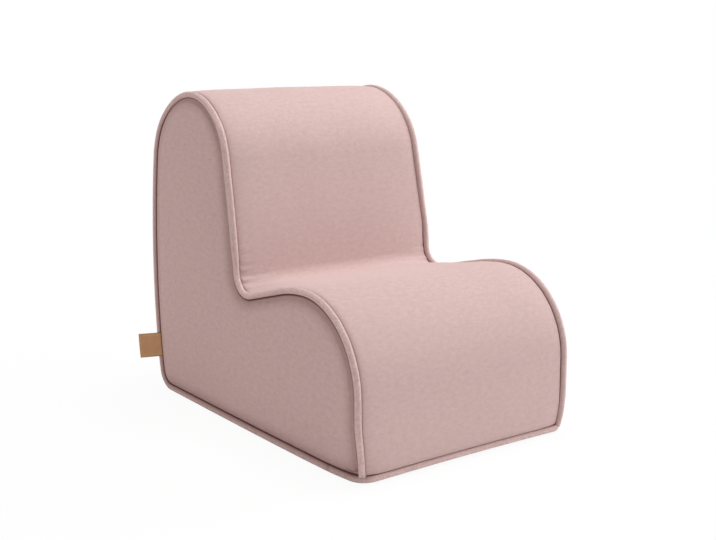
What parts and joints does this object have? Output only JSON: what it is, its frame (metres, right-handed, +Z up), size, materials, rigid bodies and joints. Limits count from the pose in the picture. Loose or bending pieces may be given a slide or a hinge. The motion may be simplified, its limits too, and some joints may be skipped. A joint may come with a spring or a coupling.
{
  "type": "kids armchair",
  "caption": "Low foam chair for a small child: one curved seat and back block in a piped fabric cover with a zip and a leather tab.",
  "frame": {"origin": "middle of the flat underside, halfway between the foot of the front face and the rearmost line", "axes": "+Z up, -Y towards the front of the seat, +X to the right of someone who faces the front"},
  "size_m": [0.3763, 0.5289, 0.4547],
  "materials": {
    "cover_fabric": "matte short-napped weave",
    "piping_fabric": "matte weave, cut on the bias",
    "foam": "open-cell polyurethane foam",
    "filler_cord": "spun polyester cord",
    "leather": "smooth, dark burnished edges",
    "zip_tape": "woven tape",
    "zip_coil": "nylon coil",
    "zip_metal": "nickel plated"
  },
  "bodies": {
    "chair": {"foam_core": "foam", "main_panel": "cover_fabric", "base_panel": "cover_fabric", "side_panel_left": "cover_fabric", "side_panel_right": "cover_fabric", "piping_left": "piping_fabric", "piping_right": "piping_fabric", "piping_front": "piping_fabric", "piping_cord_left": "filler_cord", "piping_cord_right": "filler_cord", "piping_cord_front": "filler_cord", "tag": "leather", "zip_tape_upper": "zip_tape", "zip_tape_lower": "zip_tape", "zip_coil_upper": "zip_coil", "zip_coil_lower": "zip_coil", "zip_top_stop_upper": "zip_metal", "zip_top_stop_lower": "zip_metal", "zip_bottom_stop": "zip_metal"},
    "slider": {"zip_slider": "zip_metal"},
    "pull": {"zip_pull": "zip_metal"}
  },
  "joints": [
    {"name": "zip_slide", "type": "slide", "parent": "chair", "child": "slider", "axis": [1, 0, 0], "range_m": [-0.261, 0]},
    {"name": "pull_swing", "type": "hinge", "parent": "slider", "child": "pull", "pos_m": [0.13062, 0.25555, 0.06139], "axis": [0, 0.1017, 0.9948], "range_deg": [-180, 0]}
  ]
}
